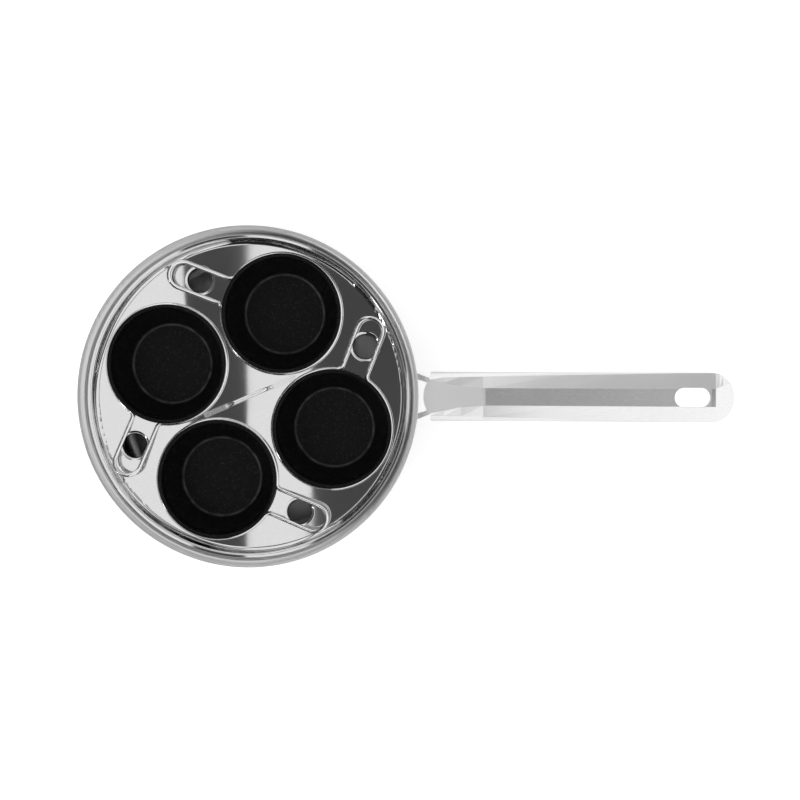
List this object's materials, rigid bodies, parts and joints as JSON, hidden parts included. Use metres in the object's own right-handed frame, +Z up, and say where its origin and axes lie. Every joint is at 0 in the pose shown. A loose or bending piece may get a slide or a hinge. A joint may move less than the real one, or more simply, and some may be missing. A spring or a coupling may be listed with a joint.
{
  "type": "egg poacher pan",
  "caption": "Stainless steel egg poacher pan with a lift-out mirror plate, black non-stick egg cups on wire loops and a long hollow handle with a hanging hole.",
  "frame": {"origin": "centre of the face that the pan rests on", "axes": "+X along the handle, +Z up out of the pan"},
  "size_m": [0.4079, 0.2136, 0.0787],
  "materials": {
    "pan_steel": "brushed lip, polished walls",
    "base_steel": "turned",
    "mirror_steel": "mirror polished",
    "handle_steel": "polished with a brushed groove",
    "bracket_steel": "satin",
    "wire_steel": "bright drawn wire",
    "aluminium": "as pressed",
    "non_stick": "speckled non-stick coating"
  },
  "bodies": {
    "pan": {"pan_shell": "pan_steel", "base_core": "aluminium", "base_cap": "base_steel", "handle_bracket": "bracket_steel", "handle_rivets": "bracket_steel", "handle_upper_shell": "handle_steel", "handle_lower_shell": "handle_steel"},
    "insert": {"poacher_plate": "mirror_steel", "lift_bar": "wire_steel"},
    "egg_cup_1": {"cup_1": "non_stick", "cup_wire_1": "wire_steel"},
    "egg_cup_2": {"cup_2": "non_stick", "cup_wire_2": "wire_steel"},
    "egg_cup_3": {"cup_3": "non_stick", "cup_wire_3": "wire_steel"},
    "egg_cup_4": {"cup_4": "non_stick", "cup_wire_4": "wire_steel"}
  },
  "joints": [
    {"name": "plate_lift", "type": "slide", "parent": "pan", "child": "insert", "axis": [0, 0, 1], "range_m": [0, 0.06]},
    {"name": "cup_1_lift", "type": "slide", "parent": "insert", "child": "egg_cup_1", "axis": [0, 0, 1], "range_m": [0, 0.045]},
    {"name": "cup_2_lift", "type": "slide", "parent": "insert", "child": "egg_cup_2", "axis": [0, 0, 1], "range_m": [0, 0.045]},
    {"name": "cup_3_lift", "type": "slide", "parent": "insert", "child": "egg_cup_3", "axis": [0, 0, 1], "range_m": [0, 0.045]},
    {"name": "cup_4_lift", "type": "slide", "parent": "insert", "child": "egg_cup_4", "axis": [0, 0, 1], "range_m": [0, 0.045]}
  ]
}
